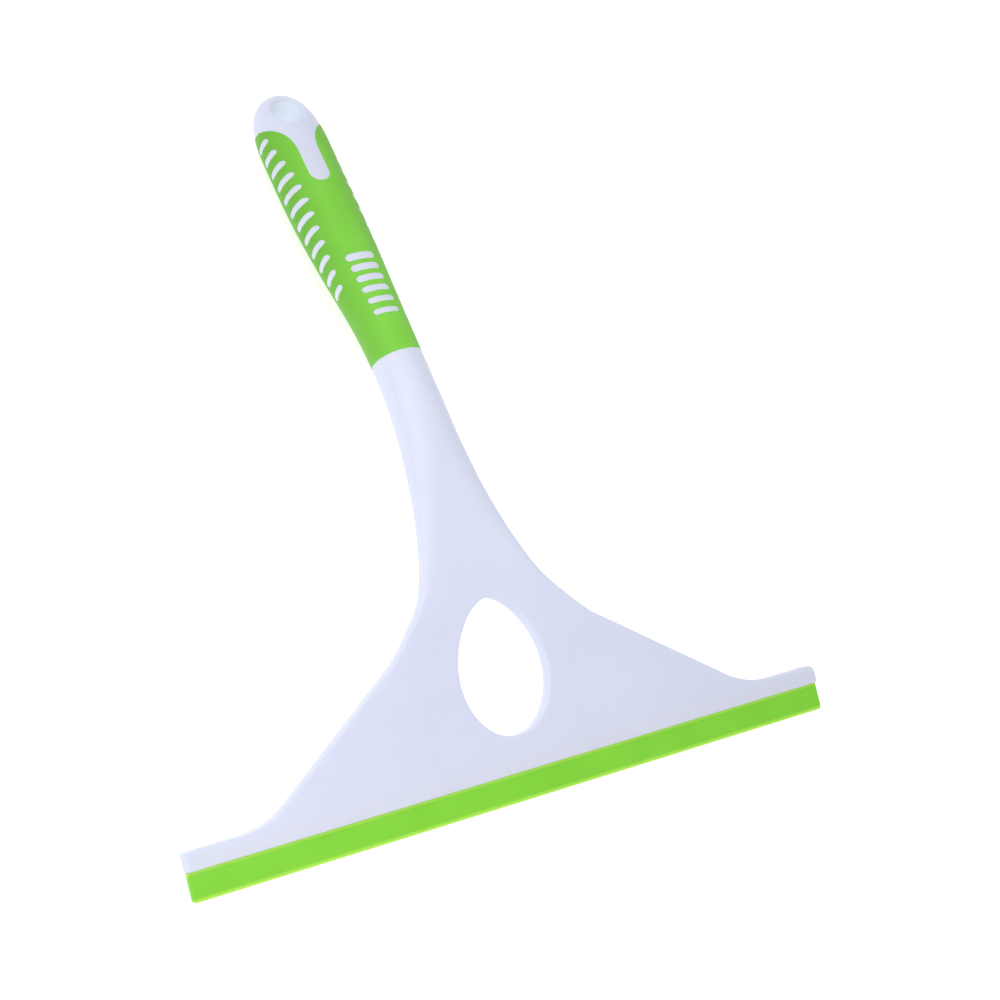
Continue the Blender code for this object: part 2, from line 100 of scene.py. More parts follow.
SLEEVE_THICKNESS = 0.0016
SLEEVE_LENGTH = 0.1108
TONGUE_LENGTH = 0.0302
TONGUE_HALF_WIDTH = 0.0043
TONGUE_MOUTH_WIDTH = 0.0099
TONGUE_MOUTH_LENGTH = 0.0176
THUMB_SLOTS = 6
THUMB_TOP = 0.0431
THUMB_PITCH = 0.0051
THUMB_LENGTHS = (0.0112, 0.0126)
THUMB_WIDTHS = (0.0025, 0.0035)
SIDE_SLOTS = 12
SIDE_FIRST = 0.0357
SIDE_PITCH = 0.00647
SIDE_WIDTH = 0.0027
SIDE_REACHES = (0.0045, 0.0082)
SIDE_BACK_REACHES = (0.0024, 0.0004)
SIDE_SLANT = math.radians(19.0)
SIDE_SKEW = 1.2  # over 1, the longest slots come nearer the handle's end
RIGHT_SHORTER = 0.0016  # how much less far the slots of the right side reach forwards
FRONT_CUT_DEPTHS = (0.003125, 0.0125)  # where the cutters of the front windows start and end
SIDE_CUT_DEPTHS = (0.0170 / 3, 0.0170)  # the same for the side windows

# The camera, in the head's own frame
CAMERA_PLACE = (-0.44207, 0.10129, 0.77987)
CAMERA_TURN = (0.147616, -0.513259, -0.272698)
SENSOR_WIDTH = 36.0  # in millimetres, as is the focal length
FOCAL_LENGTH = 86.4

# Finish
EDGE_RADIUS = 0.0009  # along the head's outline
RIM_RADIUS = 0.0009  # round the egg-shaped hole
HOLE_RIM_RADII = (0.0006, 0.0017)  # on the grip's side of the hanging hole and on the tip's
BAR_FOOT_RADIUS = 0.0003
WINDOW_SHRINK = 0.00018  # makes up for the softening of the grip's edges
CORE_BELOW_GRIP = 0.00018  # how far the white windows lie below the green
CHANNEL_GAP = 0.00006
CUT_PAST = 0.002  # how far a cutter stands out of what it cuts
HOLE_CUT_PAST = 0.0012
BLEND_IN = 0.0004  # how far inside the grip's ends the core starts to sink
BLEND_LENGTH = 0.0008
LIP_EDGE_RADIUS = 0.00022
LIP_CORNER_RADIUS = 0.0012
BODY_VOXEL = 0.00036
BODY_SMOOTHING = 4
GRIP_VOXEL = 0.00030
GRIP_SMOOTHING = 3
FLOOR_GLOW = 0.60  # the floor is a light table

HALF_LENGTH = HEAD_LENGTH / 2
HALF_THICKNESS = HEAD_THICKNESS / 2
BAR_TOP = BLADE_EXPOSED + BAR_HEIGHT
FLARE_TOP = BAR_TOP + (HALF_LENGTH - FLARE_FROM_END - FLARE_TOP_HALF_WIDTH) * math.tan(FLARE_ANGLE)
GRIP_START = FLARE_TOP + NECK_LENGTH
GRIP_END = GRIP_START + SLEEVE_LENGTH
SPINE_END = GRIP_START + HANDLE_LENGTH


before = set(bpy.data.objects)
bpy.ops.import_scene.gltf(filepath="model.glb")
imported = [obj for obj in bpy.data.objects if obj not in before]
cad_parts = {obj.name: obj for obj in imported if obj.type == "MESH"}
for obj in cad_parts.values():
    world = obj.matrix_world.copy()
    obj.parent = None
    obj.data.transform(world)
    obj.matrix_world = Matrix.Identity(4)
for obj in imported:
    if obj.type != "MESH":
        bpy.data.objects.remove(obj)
cad_low, cad_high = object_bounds()


# The handle's profile


def station_table():
    rows = []
    for start, length, stations in (
        (FLARE_TOP, NECK_LENGTH, NECK_STATIONS),
        (GRIP_START, HANDLE_LENGTH, GRIP_STATIONS),
    ):
        for share, lean, half_width, half_thickness, roundness in stations:
            thick = max(half_thickness or 0.0, HALF_THICKNESS)
            rows.append((start + share * length, math.radians(lean), half_width, thick, roundness))
    return np.array(rows)


STATIONS = station_table()


def smooth_value(column, s):
    """The station table's column at s, by cubic pieces that never overshoot a station."""
    at, value = STATIONS[:, 0], STATIONS[:, column]
    if s <= at[0]:
        return value[0]
    if s >= at[-1]:
        return value[-1]
    slope = np.diff(value) / np.diff(at)
    product = slope[:-1] * slope[1:]
    total = np.where(product > 0, slope[:-1] + slope[1:], 1.0)
    inner = np.where(product > 0, 2 * product / total, 0.0)
    tangent = np.concatenate([[slope[0]], inner, [slope[-1]]])
    i = int(np.searchsorted(at, s)) - 1
    width = at[i + 1] - at[i]
    t = (s - at[i]) / width
    return (
        value[i] * (1 + 2 * t) * (1 - t) ** 2
        + value[i + 1] * t * t * (3 - 2 * t)
        + width * tangent[i] * t * (1 - t) ** 2
        - width * tangent[i + 1] * t * t * (1 - t)
    )


def end_rounding(s, taper):
    """1 along the handle, falling to 0 where the CAD model's handle ends."""
    past = min(1.0, max(0.0, 1 - (SPINE_END - END_FLAT - s) / (taper - END_FLAT)))
    return max(0.0, 1 - past**END_BLUNTNESS) ** (1 / END_BLUNTNESS)


def half_width_at(s):
    if s < FLARE_TOP:
        return FLARE_TOP_HALF_WIDTH + (FLARE_TOP - s) / math.tan(FLARE_ANGLE)
    return smooth_value(2, s) * end_rounding(s, END_WIDTH_TAPER)


def half_thickness_at(s):
    return smooth_value(3, s) * end_rounding(s, END_THICKNESS_TAPER)


SPINE_STEP = 0.0005
SPINE_S = np.arange(0.0, SPINE_END + 2 * SPINE_STEP, SPINE_STEP)
SPINE_LEAN = np.array([smooth_value(1, s) for s in SPINE_S])
MEAN_LEAN = (SPINE_LEAN[1:] + SPINE_LEAN[:-1]) / 2
SPINE_Y = np.concatenate([[0.0], np.cumsum(np.cos(MEAN_LEAN) * SPINE_STEP)])
SPINE_Z = np.concatenate([[0.0], np.cumsum(-np.sin(MEAN_LEAN) * SPINE_STEP)])


def on_spine(x, s, out):
    lean = np.interp(s, SPINE_S, SPINE_LEAN)
    y = np.interp(s, SPINE_S, SPINE_Y) + out * math.sin(lean)
    return Vector((x, y, np.interp(s, SPINE_S, SPINE_Z) + out * math.cos(lean)))


def section(s, half_width=None, inset=0.0, steps=16):
    """One ring of the handle: a rectangle whose corners grow from small arcs into a whole ellipse."""
    wide = (half_width_at(s) if half_width is None else half_width) - inset
    thick = half_thickness_at(s) - inset
    wide, thick = max(wide, 1e-4), max(thick, 1e-4)
    roundness = min(smooth_value(4, s), 0.985)
    edge = min(EDGE_RADIUS, thick, wide)
    corner_x = edge + (wide - edge) * roundness
    corner_z = edge + (thick - edge) * roundness
    ring = []
    for quarter, (side, front) in enumerate(((1, 1), (-1, 1), (-1, -1), (1, -1))):
        for step in range(steps + 1):
            turn = (quarter + step / steps) * math.pi / 2
            x = side * (wide - corner_x) + corner_x * math.cos(turn)
            out = front * (thick - corner_z) + corner_z * math.sin(turn)
            ring.append(on_spine(x, s, out))
    return ring


# Mesh tools


def mesh_from(name, shape):
    bmesh.ops.recalc_face_normals(shape, faces=shape.faces)
    mesh = bpy.data.meshes.new(name)
    shape.to_mesh(mesh)
    shape.free()
    return mesh


def bridge(shape, lower, upper):
    for i in range(len(lower)):
        j = (i + 1) % len(lower)
        shape.faces.new((lower[i], lower[j], upper[j], upper[i]))


def loft(name, sections, closed=False):
    shape = bmesh.new()
    rings = [[shape.verts.new(point) for point in points] for points in sections]
    for lower, upper in zip(rings, rings[1:]):
        bridge(shape, lower, upper)
    if closed:
        bridge(shape, rings[-1], rings[0])
    else:
        shape.faces.new(rings[0])
        shape.faces.new(rings[-1])
    return mesh_from(name, shape)


def new_object(name, mesh):
    obj = bpy.data.objects.new(name, mesh)
    bpy.context.scene.collection.objects.link(obj)
    return obj


def baked(obj):
    """The object's mesh with its modifiers applied; its old mesh and its modifiers are dropped."""
    graph = bpy.context.evaluated_depsgraph_get()
    mesh = bpy.data.meshes.new_from_object(obj.evaluated_get(graph))
    obj.modifiers.clear()
    old, obj.data = obj.data, mesh
    bpy.data.meshes.remove(old)
    return obj


def combine(obj, others, operation):
    """Boolean with each of the other meshes in turn, applied."""
    helpers = [new_object(f"helper_{i}", mesh) for i, mesh in enumerate(others)]
    for helper in helpers:
        modifier = obj.modifiers.new("cut", "BOOLEAN")
        modifier.operation = operation
        modifier.object = helper
        modifier.solver = "MANIFOLD"
    baked(obj)
    for helper in helpers:
        mesh = helper.data
        bpy.data.objects.remove(helper)
        bpy.data.meshes.remove(mesh)
    return obj


def moulded(obj, voxel, smoothing):
    """An even skin over the whole form, smoothed so that every edge gets a moulded radius."""
    remesh = obj.modifiers.new("skin", "REMESH")
    remesh.mode = "VOXEL"
    remesh.voxel_size = voxel
    remesh.adaptivity = 0.0
    smooth = obj.modifiers.new("soften", "SMOOTH")
    smooth.factor = 0.5
    smooth.iterations = smoothing
    return baked(obj)


def box(name, low, high, bevel=0.0, segments=3):
    shape = bmesh.new()
    bmesh.ops.create_cube(shape, size=1.0)
    low, high = Vector(low), Vector(high)
    for vertex in shape.verts:
        vertex.co = (low + high) / 2 + vertex.co * (high - low)
    if bevel:
        bmesh.ops.bevel(
            shape, geom=shape.edges[:], offset=bevel, segments=segments, profile=0.5, affect="EDGES"
        )
    return mesh_from(name, shape)


# The white body


def bar_mesh():
    """The blade bar, its corner at the channel's open end rounder than at the closed one."""
    outline = [(-HALF_LENGTH, BLADE_EXPOSED), (HALF_LENGTH, BLADE_EXPOSED)]
    for side, radius, first in ((1, BAR_RIGHT_CORNER, 0.0), (-1, BAR_LEFT_CORNER, math.pi / 2)):
        for step in range(13):
            turn = first + step / 12 * math.pi / 2
            x = side * (HALF_LENGTH - radius) + radius * math.cos(turn)
            outline.append((x, BAR_TOP - radius + radius * math.sin(turn)))
    shape = bmesh.new()
    lower = [shape.verts.new((x, y, -HALF_THICKNESS)) for x, y in outline]
    upper = [shape.verts.new((x, y, HALF_THICKNESS)) for x, y in outline]
    bridge(shape, lower, upper)
    shape.faces.new(lower)
    shape.faces.new(upper)
    bmesh.ops.recalc_face_normals(shape, faces=shape.faces)
    rims = [e for e in shape.edges if abs(e.verts[0].co.z - e.verts[1].co.z) < 1e-7]
    bmesh.ops.bevel(
        shape, geom=rims, offset=BAR_FOOT_RADIUS, segments=4, profile=0.5, affect="EDGES"
    )
    return mesh_from("bar", shape)


def flare_rings():
    tangent = FLARE_ROOT_RADIUS * math.tan(FLARE_ANGLE / 2)
    root = HALF_LENGTH - FLARE_FROM_END + tangent
    rings = [section(BAR_TOP - BAR_HEIGHT * 0.7, half_width=root)]
    for step in range(25):
        turn = FLARE_ANGLE * step / 24
        s = BAR_TOP + FLARE_ROOT_RADIUS * (1 - math.cos(turn))
        rings.append(section(s, half_width=root - FLARE_ROOT_RADIUS * math.sin(turn)))
    return rings


def core_inset(s):
    """The core lies a little below the green where the grip covers it."""
    rise = min(1.0, max(0.0, (s - GRIP_START - BLEND_IN) / BLEND_LENGTH))
    fall = min(1.0, max(0.0, (GRIP_END - BLEND_IN - s) / BLEND_LENGTH))
    return CORE_BELOW_GRIP * min(rise, fall)


def neck_distances():
    start = SPINE_END - END_WIDTH_TAPER
    turns = np.linspace(0, math.pi / 2, 60)[1:]
    rounded = start + (END_WIDTH_TAPER - END_FLAT - 2e-5) * np.sin(turns)
    shifts = np.linspace(-0.002, 0.002, 11)
    near_edges = [edge + shift for edge in (GRIP_START, GRIP_END) for shift in shifts]
    straight = [
        s
        for s in np.linspace(FLARE_TOP, start, 220)
        if all(abs(s - edge) > 2e-5 for edge in near_edges)
    ]
    return sorted([*straight, *rounded, *near_edges])


def body_rings():
    return [section(s, inset=core_inset(s)) for s in neck_distances()]


def bezier(points, count):
    t = np.linspace(0, 1, count, endpoint=False)[:, None]
    a, b, c, d = (np.array(p) for p in points)
    return a * (1 - t) ** 3 + 3 * b * t * (1 - t) ** 2 + 3 * c * t * t * (1 - t) + d * t**3


def egg_outline():
    foot = BAR_TOP + EGG_ABOVE_BAR
    widest = foot + EGG_WIDEST_AT * EGG_LENGTH
    top = foot + EGG_LENGTH
    w = EGG_HALF_WIDTH
    level_low, level_high = EGG_PULLS[0] * w, EGG_PULLS[1] * w
    down, up = EGG_PULLS[2] * (widest - foot), EGG_PULLS[3] * (top - widest)
    quarters = (
        ((0, foot), (level_low, foot), (w, widest - down), (w, widest)),
        ((w, widest), (w, widest + up), (level_high, top), (0, top)),
        ((0, top), (-level_high, top), (-w, widest + up), (-w, widest)),
        ((-w, widest), (-w, widest - down), (-level_low, foot), (0, foot)),
    )
    return np.concatenate([bezier(quarter, 40) for quarter in quarters])


def egg_mesh():
    """The egg-shaped cutter, flared at both faces so that the hole gets rounded rims."""
    outline = egg_outline()
    along = np.roll(outline, -1, axis=0) - np.roll(outline, 1, axis=0)
    along /= np.linalg.norm(along, axis=1)[:, None]
    outward = np.stack([along[:, 1], -along[:, 0]], axis=1)
    levels = []
    for step in range(9):
        turn = step / 8 * math.pi / 2
        z = HALF_THICKNESS - RIM_RADIUS + RIM_RADIUS * math.sin(turn)
        levels.append((z, RIM_RADIUS * (1 - math.cos(turn))))
    levels.append((HALF_THICKNESS + CUT_PAST, RIM_RADIUS + CUT_PAST))
    levels = [(-z, grow) for z, grow in reversed(levels)] + levels
    rings = [[(x, y, z) for x, y in outline + outward * grow] for z, grow in levels]
    return loft("egg", rings)


def hanging_hole_mesh():
    """A round cutter whose mouth follows the handle's crowned surface and flares into it."""
    s0 = SPINE_END - HANGING_HOLE_FROM_END
    centre = on_spine(0.0, s0, 0.0)
    outward = (on_spine(0.0, s0, 1.0) - centre).normalized()
    across, along = Vector((1, 0, 0)), outward.cross(Vector((1, 0, 0)))
    turns = np.linspace(0, 2 * math.pi, 96, endpoint=False)

    def surface(x, a):
        wide, thick = half_width_at(s0 + a), half_thickness_at(s0 + a)
        return thick * math.sqrt(max(0.0, 1 - (x / max(wide, 1e-4)) ** 2))

    def ring(grow, drop, past, side):
        hole_radius = HANGING_HOLE_RADIUS if side > 0 else HANGING_HOLE_BACK_RADIUS
        points = []
        for turn in turns:
            tipward = (0.5 + 0.5 * math.sin(turn)) ** 1.5
            rim = HOLE_RIM_RADII[0] + (HOLE_RIM_RADII[1] - HOLE_RIM_RADII[0]) * tipward
            radius = hole_radius + rim * grow + past
            x, a = radius * math.cos(turn), radius * math.sin(turn)
            rise = surface(x, a) - rim * drop + 2 * past
            points.append(centre + across * x + along * a + outward * side * rise)
        return points

    turned = [step / 8 * math.pi / 2 for step in range(9)]
    levels = [(1 - math.cos(turn), 1 - math.sin(turn), 0.0) for turn in turned]
    levels.append((1.0, 0.0, HOLE_CUT_PAST))
    back = [ring(*level, side=-1) for level in reversed(levels)]
    front = [ring(*level, side=1) for level in levels]
    return loft("hanging_hole", back + front)


def channel_meshes(clearance, past_end, past_foot, bevel=0.0):
    """The strip's stem and root, or, with a clearance, the room that is cut for them."""
    start = -HALF_LENGTH + CHANNEL_END_WALL + END_GAP - clearance
    end = HALF_LENGTH + past_end
    stem, root = BLADE_THICKNESS / 2 + clearance, BLADE_ROOT_WIDTH / 2 + clearance
    root_foot = BLADE_EXPOSED + BLADE_NECK_DEPTH - clearance
    root_top = BLADE_EXPOSED + BLADE_NECK_DEPTH + BLADE_ROOT_HEIGHT + clearance
    middle = BLADE_ROOT_HEIGHT / 2
    return [
        box("stem", (start, BLADE_EXPOSED - past_foot, -stem), (end, root_foot + middle, stem)),
        box("root", (start, root_foot, -root), (end, root_top, root), bevel),
    ]


def make_body():
    body = new_object("moulded_body", loft("moulded_body", flare_rings() + body_rings()))
    combine(body, [bar_mesh()], "UNION")
    channel = channel_meshes(CHANNEL_GAP, CUT_PAST, CUT_PAST)
    combine(body, [egg_mesh(), hanging_hole_mesh(), *channel], "DIFFERENCE")
    return moulded(body, BODY_VOXEL, BODY_SMOOTHING)


# The grip


def capsule(centre, length, width, angle, steps=14):
    reach = max(length - width, 0.0) / 2
    points = []
    for end in (1, -1):
        for step in range(steps + 1):
            turn = math.pi * (step / steps - 0.5) + (0 if end > 0 else math.pi)
            across = end * reach + width / 2 * math.cos(turn)
            along = width / 2 * math.sin(turn)
            s = centre[0] + along * math.cos(angle) - across * math.sin(angle)
            points.append((s, centre[1] + along * math.sin(angle) + across * math.cos(angle)))
    return points


def thumb_outlines():
    outlines = []
    for i in range(THUMB_SLOTS):
        share = i / (THUMB_SLOTS - 1)
        length = THUMB_LENGTHS[0] + (THUMB_LENGTHS[1] - THUMB_LENGTHS[0]) * share
        width = THUMB_WIDTHS[0] + (THUMB_WIDTHS[1] - THUMB_WIDTHS[0]) * share
        s = GRIP_START + THUMB_TOP - (THUMB_SLOTS - 1 - i) * THUMB_PITCH
        outlines.append(capsule((s, 0.0), length - 2 * WINDOW_SHRINK, width - 2 * WINDOW_SHRINK, 0.0))
    return outlines


def side_outlines(shorter):
    width = SIDE_WIDTH - 2 * WINDOW_SHRINK
    outlines = []
    for i in range(SIDE_SLOTS):
        bulge = math.sin(math.pi * ((i + 0.5) / SIDE_SLOTS) ** SIDE_SKEW)
        front = SIDE_REACHES[0] + (SIDE_REACHES[1] - SIDE_REACHES[0]) * bulge - shorter
        back = SIDE_BACK_REACHES[0] + (SIDE_BACK_REACHES[1] - SIDE_BACK_REACHES[0]) * bulge
        middle = (front - back) / 2
        length = (front + back) / math.cos(SIDE_SLANT)
        s = GRIP_START + SIDE_FIRST + i * SIDE_PITCH
        s += (middle - SIDE_REACHES[1]) * math.tan(SIDE_SLANT)
        outlines.append(capsule((s, middle), length - 2 * WINDOW_SHRINK, width, -SIDE_SLANT))
    return outlines


def tongue_outline():
    foot = GRIP_END - TONGUE_LENGTH + TONGUE_HALF_WIDTH
    side = []
    for step in range(17):
        turn = step / 16 * math.pi / 2
        side.append((foot - TONGUE_HALF_WIDTH * math.cos(turn), TONGUE_HALF_WIDTH * math.sin(turn)))
    mouth_start = GRIP_END - TONGUE_MOUTH_LENGTH
    for step in range(25):
        share = step / 24
        s = mouth_start + TONGUE_MOUTH_LENGTH * share
        side.append((s, TONGUE_HALF_WIDTH + TONGUE_MOUTH_WIDTH * share**3))
    side.append((GRIP_END + 0.003, 2 * TONGUE_MOUTH_WIDTH))
    return side + [(s, -across) for s, across in reversed(side[1:])]


def window_mesh(outline, place, near, far):
    shape = bmesh.new()
    lower = [shape.verts.new(place(a, b, near)) for a, b in outline]
    upper = [shape.verts.new(place(a, b, far)) for a, b in outline]
    bridge(shape, lower, upper)
    shape.faces.new(lower)
    shape.faces.new(upper)
    return mesh_from("window", shape)


def window_meshes():
    def from_front(s, x, out):
        return on_spine(x, s, out)

    def from_right(s, out, x):
        return on_spine(x, s, out)

    def from_left(s, out, x):
        return on_spine(-x, s, out)

    fronts = (*thumb_outlines(), tongue_outline())
    meshes = [window_mesh(outline, from_front, *FRONT_CUT_DEPTHS) for outline in fronts]
    for place, shorter in ((from_right, RIGHT_SHORTER), (from_left, 0.0)):
        for outline in side_outlines(shorter):
            meshes.append(window_mesh(outline, place, *SIDE_CUT_DEPTHS))
    return meshes


def make_grip():
    distances = np.linspace(GRIP_START, GRIP_END, 150)
    outside = [section(s, steps=24) for s in distances]
    inside = [section(s, inset=SLEEVE_THICKNESS, steps=24) for s in reversed(distances)]
    grip = new_object("soft_grip", loft("soft_grip", outside + inside, closed=True))
    combine(grip, window_meshes(), "DIFFERENCE")
    return moulded(grip, GRIP_VOXEL, GRIP_SMOOTHING)


# The rubber strip


def make_strip():
    """The lip, with softened long edges and rounded lower corners, joined to its T-shaped root."""
    half, top = BLADE_THICKNESS / 2, BLADE_EXPOSED - 0.0001
    radius = LIP_EDGE_RADIUS
    profile = [(top, -half)]
    for side, first in ((-1, 0.0), (1, math.pi / 2)):
        for step in range(5):
            turn = first + step / 4 * math.pi / 2
            z = side * (half - radius) - radius * math.cos(turn)
            profile.append((radius - radius * math.sin(turn), z))
    profile.append((top, half))
    rings = []
    turns = np.linspace(0, math.pi / 2, 9)
    ends = LIP_CORNER_RADIUS * (1 - np.cos(turns))
    between = np.linspace(-HALF_LENGTH, HALF_LENGTH, 160)[2:-2]
    xs = np.concatenate([-HALF_LENGTH + ends, between, HALF_LENGTH - ends[::-1]])
    for x in xs:
        past = max(0.0, 1 - (HALF_LENGTH - abs(x)) / LIP_CORNER_RADIUS)
        lift = LIP_CORNER_RADIUS * (1 - math.sqrt(max(0.0, 1 - past * past)))
        rings.append([(x, lift + y * (top - lift) / top, z) for y, z in profile])
    strip = new_object("rubber_strip", loft("rubber_strip", rings))
    return combine(strip, channel_meshes(0.0, 0.0, BLADE_EXPOSED / 2, 0.0003), "UNION")


# Placing


def head_matrix():
    """The head frame's place: tilted until the blade's back edge and the handle touch the ground."""
    edges = [Vector((0.0, 0.0, z)) for z in (-BLADE_THICKNESS / 2, BLADE_THICKNESS / 2)]
    back_edge = edges[0]
    distances = np.linspace(FLARE_TOP, SPINE_END - END_FLAT, 400)
    underside = [point for s in distances for point in section(s, steps=4)]
    tilt = max(math.atan2(back_edge.z - point.z, point.y) for point in underside)
    turn = Matrix.Rotation(tilt, 4, "X")
    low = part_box("blade")[0]
    y = low.y - min((turn @ edge).y for edge in edges)
    return Matrix.Translation((0.0, y, low.z - (turn @ back_edge).z)) @ turn


head_place = head_matrix()


# Materials


def nodes_of(name):
    material = bpy.data.materials.new(name)
    material.use_nodes = True
    tree = material.node_tree
    return material, tree, tree.nodes["Principled BSDF"]


def add(tree, kind, **values):
    node = tree.nodes.new(kind)
    for key, value in values.items():
        if key in node.inputs:
            node.inputs[key].default_value = value
        else:
            setattr(node, key, value)
    return node


def noise(tree, coords, scale, detail=3.0, roughness=0.5, stretch=None):
    node = add(tree, "ShaderNodeTexNoise", Scale=scale, Detail=detail, Roughness=roughness)
    source = coords
    if stretch:
        mapping = add(tree, "ShaderNodeMapping", Scale=stretch)
        tree.links.new(coords, mapping.inputs["Vector"])
        source = mapping.outputs["Vector"]
    tree.links.new(source, node.inputs["Vector"])
    return node.outputs["Fac"]


def ranged(tree, value, low, high, to_low, to_high):
    node = add(tree, "ShaderNodeMapRange")
    node.inputs["From Min"].default_value = low
    node.inputs["From Max"].default_value = high
    node.inputs["To Min"].default_value = to_low
    node.inputs["To Max"].default_value = to_high
    tree.links.new(value, node.inputs["Value"])
    return node.outputs["Result"]


def mixed(tree, factor, first, second):
    node = tree.nodes.new("ShaderNodeMix")
    node.data_type = "RGBA"
    tree.links.new(factor, node.inputs["Factor"])
    for socket, value in (("A", first), ("B", second)):
        entry = [i for i in node.inputs if i.name == socket and i.type == "RGBA"][0]
        if isinstance(value, tuple):
            entry.default_value = (*value, 1.0)
        else:
            tree.links.new(value, entry)
    return [o for o in node.outputs if o.type == "RGBA"][0]


def clouded(tree, cloud, dark, light):
    return mixed(tree, ranged(tree, cloud, 0.3, 0.7, 0.0, 1.0), dark, light)


def bump(tree, height, distance, strength, after=None):
    node = add(tree, "ShaderNodeBump", Strength=strength, Distance=distance)
    tree.links.new(height, node.inputs["Height"])
    if after is not None:
        tree.links.new(after, node.inputs["Normal"])
    return node.outputs["Normal"]


def object_coords(tree):
    return add(tree, "ShaderNodeTexCoord").outputs["Object"]


def hanging_hole_light_mask(tree, coords):
    """1 on the hanging hole's wall, whose colour is brightened there as painted light, and 0 outside it."""
    s = SPINE_END - HANGING_HOLE_FROM_END
    centre = head_place @ on_spine(0.0, s, 0.0)
    outward = head_place.to_3x3() @ (on_spine(0.0, s, 1.0) - on_spine(0.0, s, 0.0))
    turn = Vector((0, 0, 1)).rotation_difference(outward).to_euler()
    mapping = add(tree, "ShaderNodeMapping", vector_type="TEXTURE", Location=centre)
    mapping.inputs["Rotation"].default_value = turn
    tree.links.new(coords, mapping.inputs["Vector"])
    flat = add(tree, "ShaderNodeVectorMath", operation="MULTIPLY")
    flat.inputs[1].default_value = (1.0, 1.0, 0.0)
    tree.links.new(mapping.outputs["Vector"], flat.inputs[0])
    length = add(tree, "ShaderNodeVectorMath", operation="LENGTH")
    tree.links.new(flat.outputs["Vector"], length.inputs[0])
    inner, outer = HANGING_HOLE_RADIUS - 0.0002, HANGING_HOLE_RADIUS + 0.0003
    return ranged(tree, length.outputs["Value"], inner, outer, 1.0, 0.0)


def white_plastic():
    """Injection-moulded polypropylene: cool white, satin, with fine texture and a few hairline scuffs."""
    material, tree, shader = nodes_of("white_moulded_plastic")
    coords = object_coords(tree)
    cloud = noise(tree, coords, 22.0, 2.0)
    speck = noise(tree, coords, 900.0, 2.0)
    tone = clouded(tree, cloud, (0.680, 0.710, 0.855), (0.710, 0.738, 0.880))
    tone = mixed(tree, ranged(tree, speck, 0.62, 0.80, 0.0, 0.16), tone, (0.60, 0.63, 0.76))
    # Painted light: the hanging hole's wall is painted a brighter, bluer white.
    tone = mixed(tree, hanging_hole_light_mask(tree, coords), tone, (0.87, 0.92, 1.0))
    tree.links.new(tone, shader.inputs["Base Color"])
    grain = noise(tree, coords, 2600.0, 2.0)
    waviness = noise(tree, coords, 45.0, 2.0)
    scuffs = noise(tree, coords, 120.0, 4.0, 0.6, (0.25, 3.0, 1.0))
    rough = add(tree, "ShaderNodeMath", operation="ADD")
    tree.links.new(ranged(tree, waviness, 0.3, 0.7, 0.33, 0.43), rough.inputs[0])
    tree.links.new(ranged(tree, scuffs, 0.60, 0.75, 0.0, 0.12), rough.inputs[1])
    tree.links.new(rough.outputs["Value"], shader.inputs["Roughness"])
    normal = bump(tree, waviness, 0.0006, 0.10)
    normal = bump(tree, grain, 0.00003, 0.35, normal)
    tree.links.new(normal, shader.inputs["Normal"])
    shader.inputs["Subsurface Weight"].default_value = 0.30
    shader.inputs["Subsurface Radius"].default_value = (0.0020, 0.0025, 0.0034)
    shader.inputs["Subsurface Scale"].default_value = 1.0
    shader.inputs["IOR"].default_value = 1.49
    return material


def green_grip():
    """Soft-touch thermoplastic rubber: matt, with a fine leathery grain, a slight rubbed tone and painted
    shade darkening its flanks.
    """
    material, tree, shader = nodes_of("green_soft_grip")
    coords = object_coords(tree)
    cloud = noise(tree, coords, 60.0, 3.0)
    tone = clouded(tree, cloud, (0.193, 0.600, 0.036), (0.222, 0.660, 0.050))
    spread = add(tree, "ShaderNodeSeparateXYZ")
    tree.links.new(coords, spread.inputs["Vector"])
    sideways = add(tree, "ShaderNodeMath", operation="ABSOLUTE")
    tree.links.new(spread.outputs["X"], sideways.inputs[0])
    flank_painted_shade = ranged(tree, sideways.outputs["Value"], 0.004, 0.0140, 0.0, 1.0)
    # Painted shade: the grip's sides are painted darker green than its middle.
    tone = mixed(tree, flank_painted_shade, tone, (0.140, 0.450, 0.024))
    tree.links.new(tone, shader.inputs["Base Color"])
    pebbles = add(tree, "ShaderNodeTexVoronoi", Scale=1500.0)
    tree.links.new(coords, pebbles.inputs["Vector"])
    grain = noise(tree, coords, 1400.0, 3.0)
    tree.links.new(ranged(tree, cloud, 0.3, 0.7, 0.52, 0.66), shader.inputs["Roughness"])
    normal = bump(tree, pebbles.outputs["Distance"], 0.00008, 0.35)
    normal = bump(tree, grain, 0.00005, 0.30, normal)
    tree.links.new(normal, shader.inputs["Normal"])
    shader.inputs["Subsurface Weight"].default_value = 0.10
    shader.inputs["Subsurface Radius"].default_value = (0.0008, 0.0016, 0.0004)
    shader.inputs["Sheen Weight"].default_value = 0.08
    shader.inputs["Sheen Roughness"].default_value = 0.5
    return material


